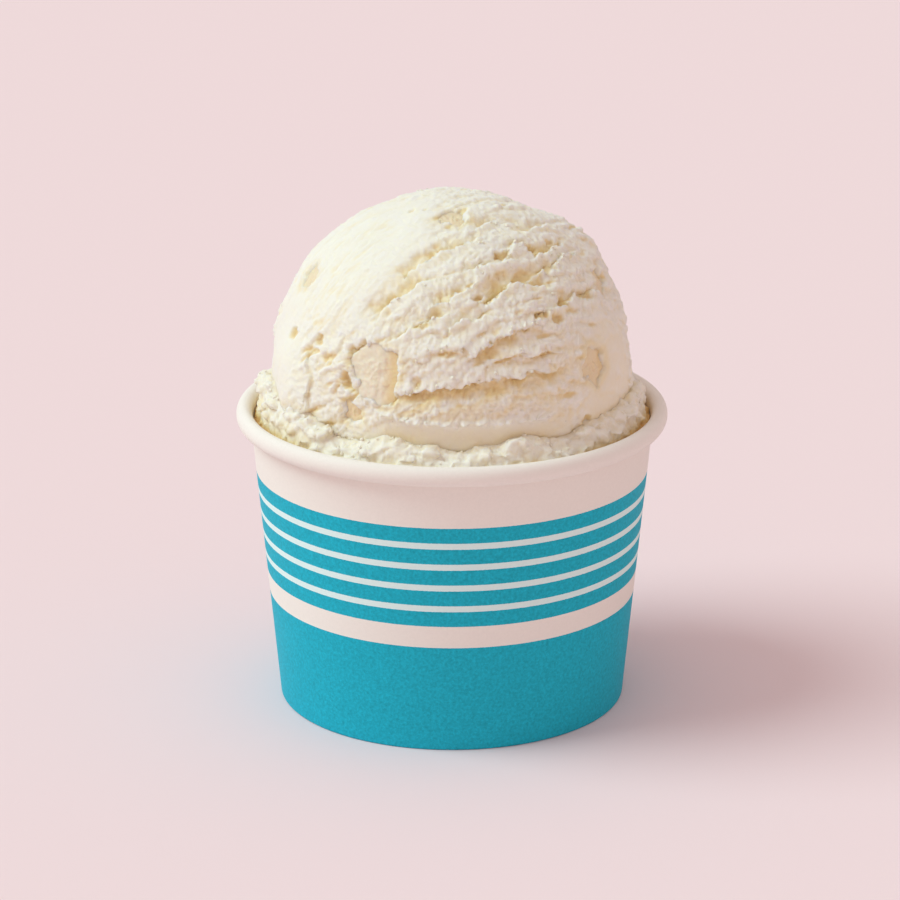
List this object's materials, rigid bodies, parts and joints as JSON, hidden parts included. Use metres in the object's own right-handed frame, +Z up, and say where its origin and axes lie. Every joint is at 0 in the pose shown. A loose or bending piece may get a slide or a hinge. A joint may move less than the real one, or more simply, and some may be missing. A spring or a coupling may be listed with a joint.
{
  "type": "gelato cup",
  "caption": "Round scoop of pale fruit gelato with a ragged skirt, standing proud of a tapered paper cup with a rolled rim and printed stripes.",
  "frame": {"origin": "centre of the cup's foot, on the table", "axes": "+Z up along the cup's axis, -Y towards the front, where the largest piece of fruit shows"},
  "size_m": [0.075, 0.075, 0.0903],
  "materials": {
    "cup_board": "coated cup board, white with printed teal stripes, soft satin",
    "base_board": "coated white board, matt",
    "gelato": "frozen cream, off-white, soft and slightly translucent with ragged ridges",
    "fruit": "moist pale yellow fruit, translucent"
  },
  "bodies": {
    "root": {"cup_wall": "cup_board", "cup_base": "base_board", "ice_cream": "gelato", "fruit_piece_1": "fruit", "fruit_piece_2": "fruit", "fruit_piece_3": "fruit", "fruit_piece_4": "fruit", "fruit_piece_5": "fruit", "fruit_piece_6": "fruit", "fruit_piece_7": "fruit", "fruit_piece_8": "fruit", "fruit_piece_9": "fruit"}
  },
  "joints": []
}
